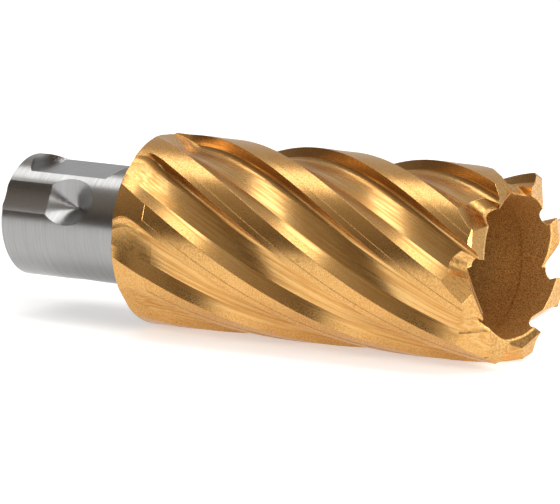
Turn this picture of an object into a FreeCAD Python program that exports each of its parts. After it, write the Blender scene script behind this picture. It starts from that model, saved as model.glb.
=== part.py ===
import FreeCAD, Part
import math
import os
import re
import Sketcher

# Annular cutter for a magnetic drill, lying along X: shank behind X = 0, toothed ring ahead of it.
# Angles about the axis are counted from +Y towards +Z, and lengths are in mm.

doc = FreeCAD.newDocument("annular_cutter")
vector = FreeCAD.Vector

sizes = {
    # how far a cut runs on past the surface it starts or ends at
    "cutPast": 1.0,
    # shank
    "shankRadius": 9.525,
    "shankLength": 24.6,
    "shankChamfer": 0.4,
    "seatBevel": 0.3,
    "spigotRadius": 6.5,
    "spigotLength": 6.0,
    "pilotBoreRadius": 3.225,
    "boreLeadIn": 0.6,
    "flatHeight": 8.03,
    "flatMiddle": -14.4,
    "flatHalfLength": 6.05,
    "flatHalfWidth": 6.0,
    "flatEndRadius": 7.8,
    "keywayRadius": 8.5,
    "keywayDepth": 0.7,
    "keywayLength": 9.5,
    "dimpleMiddle": -12.6,
    "dimpleRadius": 4.75,
    "dimpleDepth": 3.65,
    "dimpleFloorRadius": 0.25,
    # toothed ring
    "headRadius": 15.0,
    "headLength": 65.5,
    "headChamfer": 0.15,
    "slugRadius": 11.1,
    "slugFloor": 11.0,
    "slugBackRadius": 11.3,
    "slugFrontBand": 7.0,
    "slugFloorCorner": 1.0,
    # helical flutes and lands; spans are degrees about the axis, ahead of a tooth's leading edge
    "helixLead": 170.3,
    "toothAngle": 22.5,
    "toothPitch": 45.0,
    "rakeFootSpan": 1.2,
    "rakeFootDepth": 1.6,
    "floorStartSpan": 6.5,
    "floorStartDepth": 2.45,
    "floorEndSpan": 23.5,
    "floorEndDepth": 1.75,
    "fluteSpan": 31.0,
    "fluteSideLean": 5.0,
    "rakeLean": 0.5,
    "rakeFootRadius": 1.6,
    "floorRadius": 25.0,
    "runOutLength": 6.0,
    "marginSpan": 4.4,
    "landSpan": 19.0,
    "landStep": 0.06,
    "landStepStart": 5.5,
    # gullets and tooth fronts
    "gulletFloor": 62.67,
    "gulletSlant": 56.0,
    "gulletSkew": 0.29,
    "gulletTop": 4.3,
    "gulletRakeTop": 1.62,
    "gulletRakeFoot": 0.36,
    "gulletRakeRise": 0.6,
    "gulletRadius": 3.3,
    "gulletBackFoot": 4.2,
    "gulletBackRise": 0.4,
    "gulletBackTop": 8.0,
    "gulletBackSlope": 1.55,
    "gulletReach": 12.0,
    "toothRelief": 9.0,
    "toothFront": 64.9,
    "tipAhead": 1.0,
    "frontAhead": 2.5,
    "frontLength": 9.0,
    "frontInside": 9.0,
    "chamferRadius": 14.5,
    "chamferDrop": 0.3,
    "chamferFall": 1.65,
    "boreDrop": 0.7,
    "boreFall": 1.2,
    "ridgeRadius": 12.3,
    "ridgeDrop": 0.1,
    "ridgeFall": 1.23,
    # pilot pin
    "pinRadius": 3.17,
    "pinLength": 77.0,
    "pinTip": 52.0,
    "pinPointLength": 2.9,
    "pinPointFlat": 0.3,
    "pinFlatDepth": 0.6,
    "pinChamfer": 0.5,
}

sheet = doc.addObject("Spreadsheet::Sheet", "Dims")
for row, (alias, number) in enumerate(sizes.items(), start=1):
    sheet.set("A%d" % row, alias)
    sheet.set("B%d" % row, str(number))
    sheet.setAlias("B%d" % row, alias)
doc.recompute()


def size(expression):
    """The number that an expression of the sheet's aliases has now."""
    return float(sheet.evalExpression(expression))


def originPlane(body, role):
    return next(item for item in body.Origin.OriginFeatures if item.Role == role)


def addSketch(body, name, role, offset=FreeCAD.Placement()):
    sketch = body.newObject("Sketcher::SketchObject", name)
    sketch.AttachmentSupport = [(originPlane(body, role), "")]
    sketch.MapMode = "FlatFace"
    sketch.AttachmentOffset = offset
    return sketch


def crossSection(degrees, along=0.0):
    """Offset of a sketch on the YZ plane: turned about the tool axis and moved along it."""
    return FreeCAD.Placement(vector(0, 0, along), FreeCAD.Rotation(vector(0, 0, 1), degrees))


def framed(origin, across, upward):
    """Placement of a sketch with its x along across, its y along upward and its origin there."""
    return FreeCAD.Placement(origin, FreeCAD.Rotation(across, upward, across.cross(upward), "ZXY"))


def outward(degrees):
    return vector(0, math.cos(math.radians(degrees)), math.sin(math.radians(degrees)))


def onward(degrees):
    return vector(0, -math.sin(math.radians(degrees)), math.cos(math.radians(degrees)))


def arcMiddle(start, end, radius, side):
    chord = end - start
    sagitta = radius - math.sqrt(radius * radius - chord.Length * chord.Length / 4)
    normal = vector(-chord.y, chord.x, 0) / chord.Length
    return (start + end) * 0.5 + normal * (sagitta * side)


def endAt(sketch, edge, point):
    """Which end of this edge lies on the point: 1 for its start, 2 for its end."""
    return 1 if sketch.getPoint(edge, 1).distanceToPoint(point) < 1e-6 else 2


def drawLoop(sketch, corners, arcs=None):
    """Closed outline. corners are (x, y) expressions; arcs maps an edge's number to (radius, side)."""
    arcs = arcs or {}
    points = [vector(size(x), size(y), 0) for x, y in corners]
    count = len(points)
    for edge, start in enumerate(points):
        end = points[(edge + 1) % count]
        if edge in arcs:
            radius, side = arcs[edge]
            middle = arcMiddle(start, end, size(radius), side)
            sketch.addGeometry(Part.Arc(start, middle, end), False)
        else:
            sketch.addGeometry(Part.LineSegment(start, end), False)
    for edge, (point, corner) in enumerate(zip(points, corners)):
        first = endAt(sketch, edge, point)
        before = (edge - 1) % count
        sketch.addConstraint(
            Sketcher.Constraint("Coincident", before, endAt(sketch, before, point), edge, first)
        )
        for kind, number, expression in zip(("DistanceX", "DistanceY"), point, corner):
            bind(sketch, Sketcher.Constraint(kind, edge, first, number), kind[-1] + str(edge), expression)
    for edge, (radius, side) in arcs.items():
        bind(sketch, Sketcher.Constraint("Radius", edge, size(radius)), "arc%d" % edge, radius)


def bind(sketch, constraint, name, expression):
    index = sketch.addConstraint(constraint)
    sketch.renameConstraint(index, name)
    sketch.setExpression("Constraints." + name, qualified(expression))


def qualified(expression):
    """The same expression with the sheet named before each alias."""
    return re.sub(r"[A-Za-z]+", lambda word: ("Dims." if word[0] in sizes else "") + word[0], expression)


def polar(radius, degrees):
    """Corner at this radius and angle, both expressions."""
    turn = "((%s) * 1deg)" % degrees
    return ("(%s) * cos(%s)" % (radius, turn), "(%s) * sin(%s)" % (radius, turn))


def addFeature(body, kind, name, sketch, **settings):
    feature = body.newObject(kind, name)
    feature.Profile = sketch
    feature.Refine = False
    for key, value in settings.items():
        setattr(feature, key, value)
    sketch.Visibility = False
    return feature


def spin(body, name, sketch):
    """Solid of revolution about the tool axis."""
    axis = (originPlane(body, "X_Axis"), [""])
    return addFeature(body, "PartDesign::Revolution", name, sketch, ReferenceAxis=axis, Angle=360)


def repeat(body, name, features, occurrences):
    """The same cuts again, evenly round the tool axis."""
    pattern = body.newObject("PartDesign::PolarPattern", name)
    pattern.Originals = features
    pattern.Axis = (originPlane(body, "X_Axis"), [""])
    pattern.Angle = 360
    pattern.Occurrences = occurrences
    pattern.Refine = False
    body.Tip = pattern
    return pattern


def addBody(label):
    body = doc.addObject("PartDesign::Body", label)
    body.Label = label
    return body


# ---- shank: ground bar with a through pilot bore, two screw flats and three ball seats ----

def buildShank():
    body = addBody("shank")
    outline = addSketch(body, "shankOutline", "XY_Plane")
    drawLoop(outline, [
        ("-shankLength", "pilotBoreRadius + boreLeadIn"),
        ("-shankLength", "shankRadius - shankChamfer"),
        ("-shankLength + shankChamfer", "shankRadius"),
        ("0", "shankRadius"),
        ("seatBevel", "shankRadius - seatBevel"),
        ("seatBevel", "spigotRadius"),
        ("spigotLength", "spigotRadius"),
        ("spigotLength", "pilotBoreRadius"),
        ("-shankLength + boreLeadIn", "pilotBoreRadius"),
    ])
    spin(body, "shankBar", outline)

    for number, degrees in enumerate(flatAngles, start=1):
        seat = framed(outward(degrees) * size("flatHeight"), vector(1, 0, 0), onward(degrees))
        plan = addSketch(body, "flatPlan%d" % number, "XY_Plane", seat)
        drawLoop(plan, [
            ("flatMiddle - flatHalfLength", "flatHalfWidth"),
            ("flatMiddle - flatHalfLength", "-flatHalfWidth"),
            ("flatMiddle + flatHalfLength", "-flatHalfWidth"),
            ("flatMiddle + flatHalfLength", "flatHalfWidth"),
        ], {0: ("flatEndRadius", -1), 2: ("flatEndRadius", -1)})
        addFeature(body, "PartDesign::Pocket", "screwFlat%d" % number, plan,
                   Length=size("shankRadius - flatHeight + cutPast"))

    first = seatAngles[0]
    ring = addSketch(body, "keywayRing", "YZ_Plane", crossSection(first, -size("shankLength + cutPast")))
    drawCircle(ring, "shankRadius - keywayDepth + keywayRadius", "keywayRadius")
    keyway = addFeature(body, "PartDesign::Pocket", "ballKeyway", ring,
                        Length=size("keywayLength + cutPast"), Reversed=True)
    dimple = body.newObject("PartDesign::SubtractiveCone", "ballSeat")
    dimple.AttachmentSupport = [(originPlane(body, "XY_Plane"), "")]
    dimple.MapMode = "FlatFace"
    # the cone carries on a little past the surface at the same taper
    dimple.setExpression("Radius1", "Dims.dimpleFloorRadius")
    taper = "(dimpleRadius - dimpleFloorRadius) / dimpleDepth"
    dimple.setExpression("Radius2", qualified("dimpleRadius + cutPast * " + taper))
    dimple.setExpression("Height", "Dims.dimpleDepth + Dims.cutPast")
    foot = outward(first) * size("shankRadius - dimpleDepth") + vector(size("dimpleMiddle"), 0, 0)
    dimple.AttachmentOffset = framed(foot, onward(first), vector(1, 0, 0))
    dimple.Refine = False
    repeat(body, "ballSeats", [keyway, dimple], len(seatAngles))
    return body


def drawCircle(sketch, offset, radius):
    sketch.addGeometry(Part.Circle(vector(size(offset), 0, 0), vector(0, 0, 1), size(radius)), False)
    bind(sketch, Sketcher.Constraint("DistanceX", 0, 3, size(offset)), "offset", offset)
    sketch.addConstraint(Sketcher.Constraint("PointOnObject", 0, 3, -1))
    bind(sketch, Sketcher.Constraint("Radius", 0, size(radius)), "round", radius)


# ---- cutter head: fluted ring with eight teeth ----

def leadingEdge(along):
    """Angle of the first tooth's leading edge at this place along the axis."""
    return size("toothAngle") + 360 * along / size("helixLead")


def fluteSection(body, name, along, narrowing, share, footRadius="rakeFootRadius"):
    """Section of a flute. narrowing moves its rake side in, in degrees, and share is how deep it is."""
    def deep(depth):
        return "headRadius - %s * %g" % (depth, share)

    section = addSketch(body, name, "YZ_Plane", crossSection(leadingEdge(along), along))
    drawLoop(section, [
        polar("headRadius + cutPast", "%g - rakeLean" % narrowing),
        polar(deep("rakeFootDepth"), "rakeFootSpan + %g" % narrowing),
        polar(deep("floorStartDepth"), "floorStartSpan + %g" % narrowing),
        polar(deep("floorEndDepth"), "floorEndSpan"),
        polar("headRadius", "fluteSpan"),
        polar("headRadius + cutPast", "fluteSpan + fluteSideLean"),
    ], {1: (footRadius, 1), 2: ("floorRadius", 1)})
    return section


def buildHead():
    body = addBody("cutter_head")
    axis = (originPlane(body, "X_Axis"), [""])
    outline = addSketch(body, "headOutline", "XY_Plane")
    drawLoop(outline, [
        ("seatBevel", "shankRadius - seatBevel"),
        ("0", "shankRadius"),
        ("0", "headRadius - headChamfer"),
        ("headChamfer", "headRadius"),
        ("headLength", "headRadius"),
        ("headLength", "slugRadius"),
        ("headLength - slugFrontBand", "slugRadius"),
        ("headLength - slugFrontBand", "slugBackRadius"),
        ("slugFloor + slugFloorCorner", "slugBackRadius"),
        ("slugFloor", "slugBackRadius - slugFloorCorner"),
        ("slugFloor", "pilotBoreRadius"),
        ("spigotLength", "pilotBoreRadius"),
        ("spigotLength", "spigotRadius"),
        ("seatBevel", "spigotRadius"),
    ])
    spin(body, "headBlank", outline)

    section = fluteSection(body, "fluteProfile", size("runOutLength"), 0, 1)
    flute = addFeature(body, "PartDesign::SubtractiveHelix", "flute", section, ReferenceAxis=axis, Mode=0)
    flute.setExpression("Pitch", "Dims.helixLead")
    flute.setExpression("Height", "Dims.headLength - Dims.runOutLength + Dims.cutPast")
    repeat(body, "flutes", [flute], toothCount)

    # each flute gets narrower and shallower where the wheel left it, just before the shoulder
    stations = [
        fluteSection(body, "runOut%d" % number, *station) for number, station in enumerate(runOut, start=1)
    ]
    ending = addFeature(body, "PartDesign::SubtractiveLoft", "fluteEnd", stations[0],
                        Sections=stations[1:], Ruled=False)
    repeat(body, "fluteEnds", [ending], toothCount)

    # behind its narrow margin each land is ground down by a small step
    start = size("landStepStart")
    step = addSketch(body, "landStepSection", "YZ_Plane", crossSection(leadingEdge(start), start))
    drawLoop(step, [
        polar("headRadius - landStep", "-marginSpan"),
        polar("headRadius + cutPast", "-marginSpan"),
        polar("headRadius + cutPast", "-landSpan"),
        polar("headRadius - landStep", "-landSpan"),
    ], {3: ("headRadius - landStep", -1)})
    relief = addFeature(body, "PartDesign::SubtractiveHelix", "landRelief", step, ReferenceAxis=axis, Mode=0)
    relief.setExpression("Pitch", "Dims.helixLead")
    relief.setExpression("Height", "Dims.headLength - Dims.landStepStart + Dims.cutPast")
    repeat(body, "landReliefs", [relief], toothCount)

    buildGullets(body)
    buildToothFronts(body)
    return body


def buildGullets(body):
    """Round-bottomed slots between the teeth, slanting so that chips are thrown out into the flutes."""
    turn = leadingEdge(size("toothFront"))
    slant = math.radians(size("gulletSlant"))
    inward = onward(turn) * size("gulletSkew") - outward(turn) + vector(math.tan(slant), 0, 0)
    inward.normalize()
    across = (onward(turn) - inward * onward(turn).dot(inward)).normalize()
    foot = outward(turn) * size("slugRadius") + vector(size("gulletFloor"), 0, 0)
    profile = addSketch(body, "gulletProfile", "XY_Plane",
                        framed(foot - inward * size("gulletReach"), across, across.cross(inward)))
    drawLoop(profile, [
        ("gulletRakeTop", "gulletTop"),
        ("gulletRakeFoot", "gulletRakeRise"),
        ("gulletBackFoot", "gulletBackRise"),
        ("gulletBackTop", "gulletBackSlope"),
        ("gulletBackTop", "gulletTop"),
    ], {1: ("gulletRadius", -1)})
    gullet = addFeature(body, "PartDesign::Pocket", "gullet", profile,
                        Length=size("gulletReach + 3 * cutPast"))
    repeat(body, "gullets", [gullet], toothCount)


def buildToothFronts(body):
    """Teeth are ground in two ways by turns: high at the bore, and high at a ridge further out."""
    relief = math.radians(size("toothRelief"))
    for number, (name, corners) in enumerate(toothFronts.items()):
        turn = leadingEdge(size("toothFront")) + number * size("toothPitch")
        upward = vector(math.cos(relief), 0, 0) - onward(turn) * math.sin(relief)
        rise = (size("frontAhead") - size("tipAhead")) * math.tan(relief)
        place = vector(size("toothFront") + rise, 0, 0) + onward(turn) * size("frontAhead")
        profile = addSketch(body, name + "Profile", "XY_Plane", framed(place, outward(turn), upward))
        drawLoop(profile, corners)
        front = addFeature(body, "PartDesign::Pocket", name, profile,
                           Length=size("frontLength"), Reversed=True)
        repeat(body, name + "s", [front], toothCount // 2)


# ---- pilot pin: centres the cutter and pushes the slug out ----

def buildPin():
    body = addBody("pilot_pin")
    outline = addSketch(body, "pinOutline", "XY_Plane")
    drawLoop(outline, [
        ("pinTip - pinLength", "0"),
        ("pinTip - pinLength", "pinRadius - pinChamfer"),
        ("pinTip - pinLength + pinChamfer", "pinRadius"),
        ("pinTip - pinPointLength", "pinRadius"),
        ("pinTip", "pinPointFlat"),
        ("pinTip", "0"),
    ])
    spin(body, "pinRod", outline)
    place = vector(size("pinTip") + 1, 0, size("pinRadius - pinFlatDepth"))
    plan = addSketch(body, "coolantFlatPlan", "XY_Plane", FreeCAD.Placement(place, FreeCAD.Rotation()))
    drawLoop(plan, [
        ("0", "-pinRadius"),
        ("0", "pinRadius"),
        ("-pinLength - 2", "pinRadius"),
        ("-pinLength - 2", "-pinRadius"),
    ])
    addFeature(body, "PartDesign::Pocket", "coolantFlat", plan,
               Length=size("pinFlatDepth + 1"), Reversed=True)
    return body


toothCount = 8
flatAngles = (92.0, 332.0)
seatAngles = (153.0, 273.0, 33.0)
# along the axis from the shoulder, degrees of narrowing, share of the full depth, radius at the rake's foot
runOut = [
    (size("runOutLength"), 0, 1, "rakeFootRadius"),
    (4.4, 0.1, 0.9, "rakeFootRadius"),
    (3.0, 0.6, 0.7, "2"),
    (2.0, 1.7, 0.5, "2.5"),
    (1.0, 4.4, 0.3, "3.5"),
    (0.0, 8.6, 0.12, "6"),
    (-0.6, 11.6, 0.02, "9"),
]
toothFronts = {
    "innerTooth": [
        ("frontInside", "2 * cutPast"),
        ("frontInside", "0"),
        ("slugRadius", "0"),
        ("chamferRadius", "-chamferDrop"),
        ("headRadius + cutPast", "-chamferDrop - chamferFall"),
        ("headRadius + cutPast", "2 * cutPast"),
    ],
    "ridgeTooth": [
        ("frontInside", "2 * cutPast"),
        ("frontInside", "-boreDrop - boreFall"),
        ("slugRadius", "-boreDrop"),
        ("ridgeRadius", "-ridgeDrop"),
        ("headRadius + cutPast", "-ridgeDrop - ridgeFall"),
        ("headRadius + cutPast", "2 * cutPast"),
    ],
}

pieces = [buildShank(), buildHead(), buildPin()]
doc.recompute()

for item in doc.Objects:
    if "Invalid" in item.State or "Error" in item.State:
        raise RuntimeError("%s is %s" % (item.Label, item.State))
os.makedirs("parts", exist_ok=True)
for piece in pieces:
    shape = piece.Shape
    if shape.isNull() or not shape.isValid() or len(shape.Solids) != 1:
        raise RuntimeError("%s has no valid solid" % piece.Label)
    shape.exportStep("parts/%s.step" % piece.Label)
    box = shape.BoundBox
    print("%-12s %9.1f mm3  %3d faces  x %.2f to %.2f" % (
        piece.Label, shape.Volume, len(shape.Faces), box.XMin, box.XMax))
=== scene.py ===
import math

import bpy
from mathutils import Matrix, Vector


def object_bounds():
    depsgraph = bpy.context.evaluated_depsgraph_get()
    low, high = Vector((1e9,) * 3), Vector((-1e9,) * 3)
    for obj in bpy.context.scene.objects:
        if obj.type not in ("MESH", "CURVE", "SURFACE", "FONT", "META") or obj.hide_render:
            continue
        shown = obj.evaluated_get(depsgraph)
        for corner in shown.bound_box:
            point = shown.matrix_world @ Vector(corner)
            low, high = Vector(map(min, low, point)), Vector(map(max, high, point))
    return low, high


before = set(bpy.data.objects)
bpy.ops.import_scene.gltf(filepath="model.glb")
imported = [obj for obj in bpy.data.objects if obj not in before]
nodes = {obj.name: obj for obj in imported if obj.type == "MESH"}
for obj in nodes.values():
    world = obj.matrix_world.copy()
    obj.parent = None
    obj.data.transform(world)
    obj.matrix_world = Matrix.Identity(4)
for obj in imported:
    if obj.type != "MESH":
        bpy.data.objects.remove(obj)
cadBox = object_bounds()
scene = bpy.context.scene
scene.view_settings.view_transform = "Standard"
print("frame loaded:", ", ".join(sorted(nodes)))


def addNode(tree, kind, inputs=None, **settings):
    node = tree.nodes.new(kind)
    for key, value in settings.items():
        setattr(node, key, value)
    for key, value in (inputs or {}).items():
        if isinstance(value, bpy.types.NodeSocket):
            tree.links.new(value, node.inputs[key])
        else:
            node.inputs[key].default_value = value
    return node


def calculate(tree, operation, first, second=0.0):
    return addNode(tree, "ShaderNodeMath", {0: first, 1: second}, operation=operation).outputs[0]


def weigh(tree, first, firstShare, second, secondShare):
    return calculate(tree, "ADD", calculate(tree, "MULTIPLY", first, firstShare),
                     calculate(tree, "MULTIPLY", second, secondShare))


def blendColours(tree, amount, first, second):
    mixer = addNode(tree, "ShaderNodeMix", data_type="RGBA")
    for key, value in ((0, amount), (6, first), (7, second)):
        if isinstance(value, bpy.types.NodeSocket):
            tree.links.new(value, mixer.inputs[key])
        else:
            mixer.inputs[key].default_value = (*value, 1) if key else value
    return mixer.outputs[2]


def fade(tree, value, start, end, low=0.0, high=1.0):
    inputs = {"Value": value, "From Min": start, "From Max": end, "To Min": low, "To Max": high}
    return addNode(tree, "ShaderNodeMapRange", inputs, interpolation_type="SMOOTHSTEP").outputs[0]


evenly = (1, 1, 1)


def noise(tree, vector, stretch, scale, detail=3.0, roughness=0.55):
    scaled = addNode(tree, "ShaderNodeVectorMath", {0: vector, 1: stretch}, operation="MULTIPLY").outputs[0]
    inputs = {"Vector": scaled, "Scale": scale, "Detail": detail, "Roughness": roughness}
    return addNode(tree, "ShaderNodeTexNoise", inputs).outputs["Fac"]


def startMetal(name, roundEdge):
    material = bpy.data.materials.new(name)
    material.use_nodes = True
    tree = material.node_tree
    shader = tree.nodes["Principled BSDF"]
    shader.inputs["Metallic"].default_value = 1.0
    edge = addNode(tree, "ShaderNodeBevel", {"Radius": roundEdge}, samples=4)
    place = addNode(tree, "ShaderNodeTexCoord").outputs["Object"]
    return material, tree, shader, edge.outputs[0], place


def addBumps(tree, normal, layers):
    for height, depth in layers:    # depth in metres
        inputs = {"Height": height, "Distance": depth, "Strength": 1.0, "Normal": normal}
        normal = addNode(tree, "ShaderNodeBump", inputs).outputs[0]
    return normal


# camera: low, from the teeth's side
view = {"azimuth": 32.85, "elevation": 10.32, "aimAlong": 0.02148, "aimHeight": -0.00169,
        "distance": 1.183, "lens": 492.4, "sensor": 36, "farthest": 10}


def makeCamera(s):
    turn, tilt = math.radians(s["azimuth"]), math.radians(s["elevation"])
    back = Vector((math.sin(turn) * math.cos(tilt), -math.cos(turn) * math.cos(tilt), math.sin(tilt)))
    data = bpy.data.cameras.new("camera")
    data.lens = s["lens"]
    data.sensor_width = s["sensor"]
    data.clip_end = s["farthest"]
    camera = bpy.data.objects.new("camera", data)
    camera.location = Vector((s["aimAlong"], 0, s["aimHeight"])) + back * s["distance"]
    camera.rotation_euler = back.to_track_quat("Z", "Y").to_euler()
    scene.collection.objects.link(camera)
    scene.camera = camera


makeCamera(view)
print("camera placed")

# gold coating: grinding streaks follow the flutes, and the uncut lands are speckled
coating = {
    "lead": 0.1703,
    # the bore colour is a brighter gold than the outside: painted light inside the bore, not a different
    # coating
    "light": (0.80, 0.51, 0.20), "deep": (0.53, 0.25, 0.06), "paintedBoreLight": (1.0, 0.69, 0.28),
    "landRadius": 0.0143, "floorRadius": 0.0137, "boreRadius": 0.0115, "boreStart": 0.003,
    "boreRadiusFade": 0.00015, "boreStartFade": 0.003, "roundEdge": 0.00011,
    "streakStretch": (0.035, 1.0, 1.0), "streakScale": 2300.0, "streakDetail": 4.0,
    "fineStreakScale": 6500.0, "fineStreakDetail": 2.0,
    "speckleScale": 6000.0, "speckleDetail": 3.0, "speckleRoughness": 0.6, "cloudScale": 260.0,
    "contrast": (0.38, 0.62), "patternShare": 0.52, "cloudShare": 0.4,
    "dull": 0.34, "shiny": 0.23, "boreDull": 0.5,
    "streakDepth": 0.000004, "speckleDepth": 0.000007,
}


def goldCoating(s):
    material, tree, shader, normal, place = startMetal("goldCoating", s["roundEdge"])
    axes = addNode(tree, "ShaderNodeSeparateXYZ", {0: place}).outputs
    twist = calculate(tree, "MULTIPLY", axes[0], -2 * math.pi / s["lead"])
    alongFlute = addNode(tree, "ShaderNodeVectorRotate", {"Vector": place, "Angle": twist},
                         rotation_type="X_AXIS").outputs[0]
    crosswise = addNode(tree, "ShaderNodeVectorMath", {0: place, 1: (0, 1, 1)},
                        operation="MULTIPLY").outputs[0]
    radius = addNode(tree, "ShaderNodeVectorMath", {0: crosswise}, operation="LENGTH").outputs["Value"]
    onLand = fade(tree, radius, s["floorRadius"], s["landRadius"])
    withinBore = fade(tree, radius, s["boreRadius"], s["boreRadius"] - s["boreRadiusFade"])
    pastShoulder = fade(tree, axes[0], s["boreStart"], s["boreStart"] + s["boreStartFade"])
    inBore = calculate(tree, "MULTIPLY", withinBore, pastShoulder)

    streaks = noise(tree, alongFlute, s["streakStretch"], s["streakScale"], s["streakDetail"])
    fineStreaks = noise(tree, alongFlute, s["streakStretch"], s["fineStreakScale"], s["fineStreakDetail"])
    speckles = noise(tree, place, evenly, s["speckleScale"], s["speckleDetail"], s["speckleRoughness"])
    clouds = noise(tree, place, evenly, s["cloudScale"])

    streaky = fade(tree, streaks, *s["contrast"])
    speckled = fade(tree, speckles, *s["contrast"])
    grainy = calculate(tree, "MAXIMUM", onLand, inBore)
    pattern = addNode(tree, "ShaderNodeMix", {0: grainy, 2: streaky, 3: speckled}).outputs[0]
    tone = weigh(tree, pattern, s["patternShare"], clouds, s["cloudShare"])
    colour = blendColours(tree, tone, s["deep"], s["light"])
    # inside the bore the gold is swapped for the brighter copy: painted light on the bore wall
    paintedBoreLight = blendColours(tree, pattern, s["deep"], s["paintedBoreLight"])
    colour = blendColours(tree, inBore, colour, paintedBoreLight)
    tree.links.new(colour, shader.inputs["Base Color"])

    dullness = fade(tree, pattern, 0.0, 1.0, s["dull"], s["shiny"])
    boreDullness = addNode(tree, "ShaderNodeMix", {0: inBore, 2: dullness, 3: s["boreDull"]}).outputs[0]
    tree.links.new(boreDullness, shader.inputs["Roughness"])

    flutes = calculate(tree, "SUBTRACT", 1.0, grainy)
    grooves = calculate(tree, "MULTIPLY", calculate(tree, "ADD", streaks, fineStreaks), flutes)
    grain = calculate(tree, "MULTIPLY", speckles, grainy)
    bumps = addBumps(tree, normal, ((grooves, s["streakDepth"]), (grain, s["speckleDepth"])))
    tree.links.new(bumps, shader.inputs["Normal"])
    return material


# ground steel: fine rings left by the wheel
steel = {
    "light": (0.365, 0.365, 0.362), "deep": (0.30, 0.30, 0.297), "roundEdge": 0.00010,
    "ringStretch": (1.0, 0.012, 0.012), "ringScale": 7000.0, "ringRoughness": 0.7,
    "cloudScale": 300.0, "grainScale": 5200.0, "grainDetail": 2.0,
    "contrast": (0.35, 0.65), "ringShare": 0.6, "cloudShare": 0.4,
    "ringDepth": 0.0000004, "grainDepth": 0.0000008,
    "dull": 0.27, "shiny": 0.20,
}
pinSteel = dict(steel, light=(0.46, 0.46, 0.465), deep=(0.38, 0.38, 0.385), dull=0.28, shiny=0.2)


def groundSteel(name, s):
    material, tree, shader, normal, place = startMetal(name, s["roundEdge"])
    rings = noise(tree, place, s["ringStretch"], s["ringScale"], roughness=s["ringRoughness"])
    clouds = noise(tree, place, evenly, s["cloudScale"])
    grain = noise(tree, place, evenly, s["grainScale"], s["grainDetail"])
    crispRings = fade(tree, rings, *s["contrast"])
    tone = weigh(tree, crispRings, s["ringShare"], clouds, s["cloudShare"])
    tree.links.new(blendColours(tree, tone, s["deep"], s["light"]), shader.inputs["Base Color"])
    tree.links.new(fade(tree, tone, 0.0, 1.0, s["dull"], s["shiny"]), shader.inputs["Roughness"])
    bumps = addBumps(tree, normal, ((rings, s["ringDepth"]), (grain, s["grainDepth"])))
    tree.links.new(bumps, shader.inputs["Normal"])
    return material


def dress(node, material):
    nodes[node].data.materials.clear()
    nodes[node].data.materials.append(material)


dress("cutter_head", goldCoating(coating))
dress("shank", groundSteel("groundSteel", steel))
dress("pilot_pin", groundSteel("pinSteel", pinSteel))
print("metals made")

# floor: pale, smooth board that the head lies on
floor = {
    "half": 3.0, "gap": 0.00003, "light": (0.80, 0.80, 0.80), "dark": (0.78, 0.78, 0.78),
    "grainScale": 40.0, "dull": 0.9, "glow": 0.46,
}


def makeFloor(s):
    half, height = s["half"], cadBox[0][2] - s["gap"]
    mesh = bpy.data.meshes.new("floor")
    corners = [(x * half, y * half, height) for x, y in ((-1, -1), (1, -1), (1, 1), (-1, 1))]
    mesh.from_pydata(corners, [], [(0, 1, 2, 3)])
    board = bpy.data.objects.new("floor", mesh)
    scene.collection.objects.link(board)
    material = bpy.data.materials.new("paleBoard")
    material.use_nodes = True
    tree = material.node_tree
    shader = tree.nodes["Principled BSDF"]
    place = addNode(tree, "ShaderNodeTexCoord").outputs["Object"]
    grain = noise(tree, place, evenly, s["grainScale"])
    tree.links.new(blendColours(tree, grain, s["dark"], s["light"]), shader.inputs["Base Color"])
    shader.inputs["Roughness"].default_value = s["dull"]
    shader.inputs["Specular IOR Level"].default_value = 0.0
    shader.inputs["Emission Color"].default_value = (1, 1, 1, 1)
    shader.inputs["Emission Strength"].default_value = s["glow"]
    mesh.materials.append(material)


makeFloor(floor)

# room: dark towards the viewer near the horizon, a bright sweep behind and lighter overhead
room = {
    "low": (0.11, 0.085, 0.064), "middle": (0.34, 0.29, 0.24), "high": (0.44, 0.42, 0.40),
    "sweep": (0.62, 0.62, 0.62),
    "middleRise": (0.15, 0.65), "highRise": (0.6, 1.0), "sweepRise": (0.25, 0.8),
}


def makeRoom(s):
    world = bpy.data.worlds.new("room")
    world.use_nodes = True
    tree = world.node_tree
    direction = addNode(tree, "ShaderNodeTexCoord").outputs["Generated"]
    axes = addNode(tree, "ShaderNodeSeparateXYZ", {0: direction}).outputs
    colour = blendColours(tree, fade(tree, axes[2], *s["middleRise"]), s["low"], s["middle"])
    colour = blendColours(tree, fade(tree, axes[2], *s["highRise"]), colour, s["high"])
    colour = blendColours(tree, fade(tree, axes[1], *s["sweepRise"]), colour, s["sweep"])
    tree.links.new(colour, tree.nodes["Background"].inputs[0])
    scene.world = world


makeRoom(room)

# lamps: (place, aim, width, depth, power)
lamps = {
    "overheadBox": ((0.02, 0.03, 0.62), (0.02, 0.0, 0.0), 1.5, 0.30, 3.3),
    "sideBox": ((0.80, -0.30, 0.22), (0.06, 0.0, 0.0), 0.45, 0.35, 8.0),
}


def makeLamp(name, place, aim, width, depth, power):
    data = bpy.data.lights.new(name, "AREA")
    data.shape = "RECTANGLE"
    data.size, data.size_y, data.energy = width, depth, power
    lamp = bpy.data.objects.new(name, data)
    lamp.location = place
    lamp.rotation_euler = (Vector(place) - Vector(aim)).to_track_quat("Z", "Y").to_euler()
    scene.collection.objects.link(lamp)


for name, setting in lamps.items():
    makeLamp(name, *setting)
print("floor, room and lamps made")
